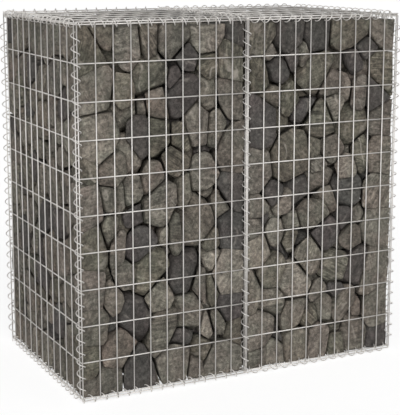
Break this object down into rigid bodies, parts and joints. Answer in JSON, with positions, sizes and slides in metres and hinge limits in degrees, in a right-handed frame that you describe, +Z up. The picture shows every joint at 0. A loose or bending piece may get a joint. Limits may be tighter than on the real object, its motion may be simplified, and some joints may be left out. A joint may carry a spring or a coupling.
{
  "type": "gabion wall",
  "caption": "Free-standing gabion wall: welded wire mesh basket in two bays, laced with helical binders and filled with broken stone.",
  "frame": {"origin": "on the ground, under the middle of the wall", "axes": "+X along the wall to the right end, +Y from the front to the back, +Z up"},
  "size_m": [1.0244, 0.6158, 1.03],
  "materials": {
    "mesh_wire": "hot-dip galvanised, dull",
    "binder_wire": "galvanised, dull",
    "stone": "broken grey stone, rough"
  },
  "bodies": {
    "root": {"back_panel_left": "mesh_wire", "back_panel_right": "mesh_wire", "base_panel_left": "mesh_wire", "base_panel_right": "mesh_wire", "divider_panel": "mesh_wire", "end_panel_left": "mesh_wire", "end_panel_right": "mesh_wire", "front_panel_left": "mesh_wire", "front_panel_right": "mesh_wire", "lid_panel_left": "mesh_wire", "lid_panel_right": "mesh_wire", "spiral_back_left": "binder_wire", "spiral_back_middle": "binder_wire", "spiral_back_right": "binder_wire", "spiral_bottom_back_left": "binder_wire", "spiral_bottom_back_right": "binder_wire", "spiral_bottom_end_left": "binder_wire", "spiral_bottom_end_right": "binder_wire", "spiral_bottom_front_left": "binder_wire", "spiral_bottom_front_right": "binder_wire", "spiral_bottom_middle": "binder_wire", "spiral_front_left": "binder_wire", "spiral_front_middle": "binder_wire", "spiral_front_right": "binder_wire", "spiral_top_back_left": "binder_wire", "spiral_top_back_right": "binder_wire", "spiral_top_end_left": "binder_wire", "spiral_top_end_right": "binder_wire", "spiral_top_front_left": "binder_wire", "spiral_top_front_right": "binder_wire", "spiral_top_middle": "binder_wire", "stone_fill_left": "stone", "stone_fill_right": "stone"}
  },
  "joints": []
}
